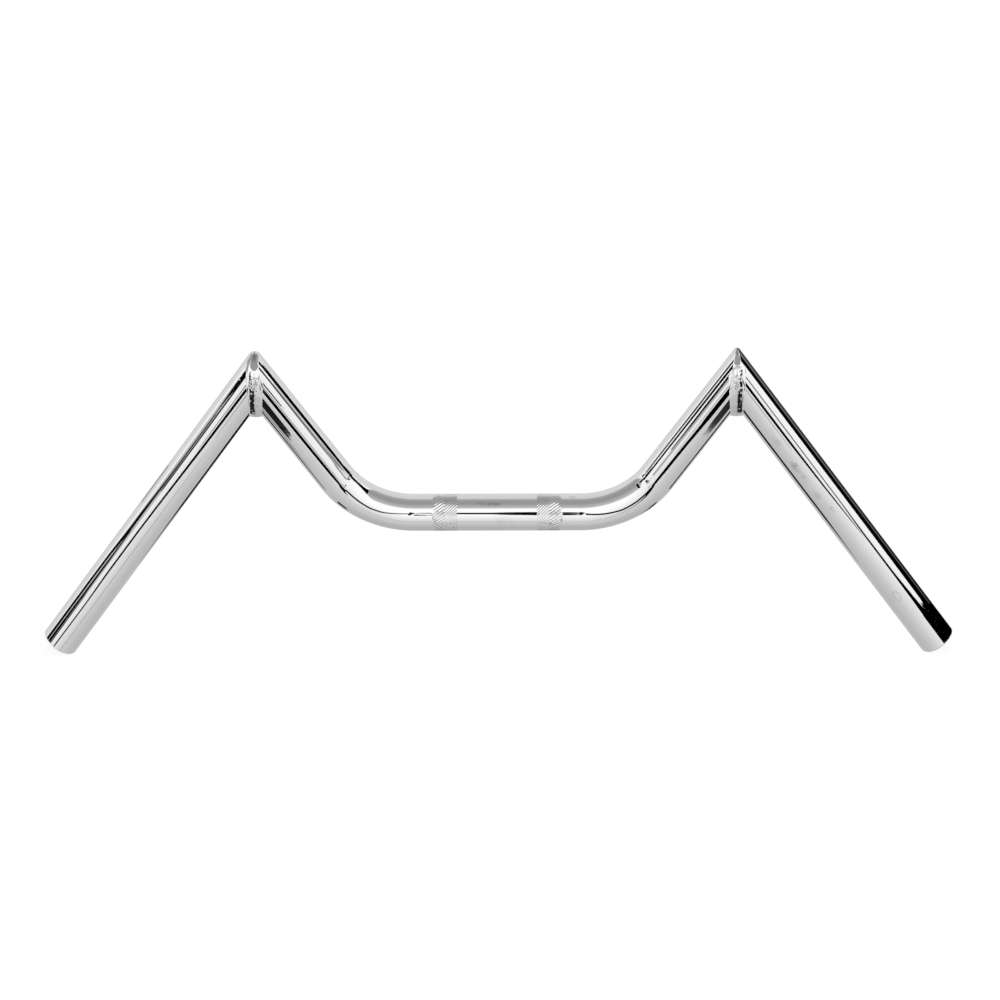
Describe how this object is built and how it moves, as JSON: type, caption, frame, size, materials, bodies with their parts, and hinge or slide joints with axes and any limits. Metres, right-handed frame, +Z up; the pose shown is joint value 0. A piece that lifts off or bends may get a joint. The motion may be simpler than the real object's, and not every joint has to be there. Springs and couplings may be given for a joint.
{
  "type": "motorcycle handlebar",
  "caption": "M-shaped chromed tube handlebar: knurled clamp section, bent-up legs, mitred and welded peaks and straight grips that slope down to open ends.",
  "frame": {"origin": "middle of the clamp section, on the tube's axis", "axes": "+X along the clamp section to the right-hand grip, +Y square to the plane of the bar, +Z up towards the peaks"},
  "size_m": [0.6296, 0.0288, 0.2477],
  "materials": {
    "chrome_tube": "polished chrome plate on steel tube, knurled where the risers clamp",
    "chrome_weld": "chrome plate over a rough weld bead, ground smooth towards the tip"
  },
  "bodies": {
    "root": {"centre_tube": "chrome_tube", "left_grip_tube": "chrome_tube", "right_grip_tube": "chrome_tube", "left_weld": "chrome_weld", "right_weld": "chrome_weld"}
  },
  "joints": []
}
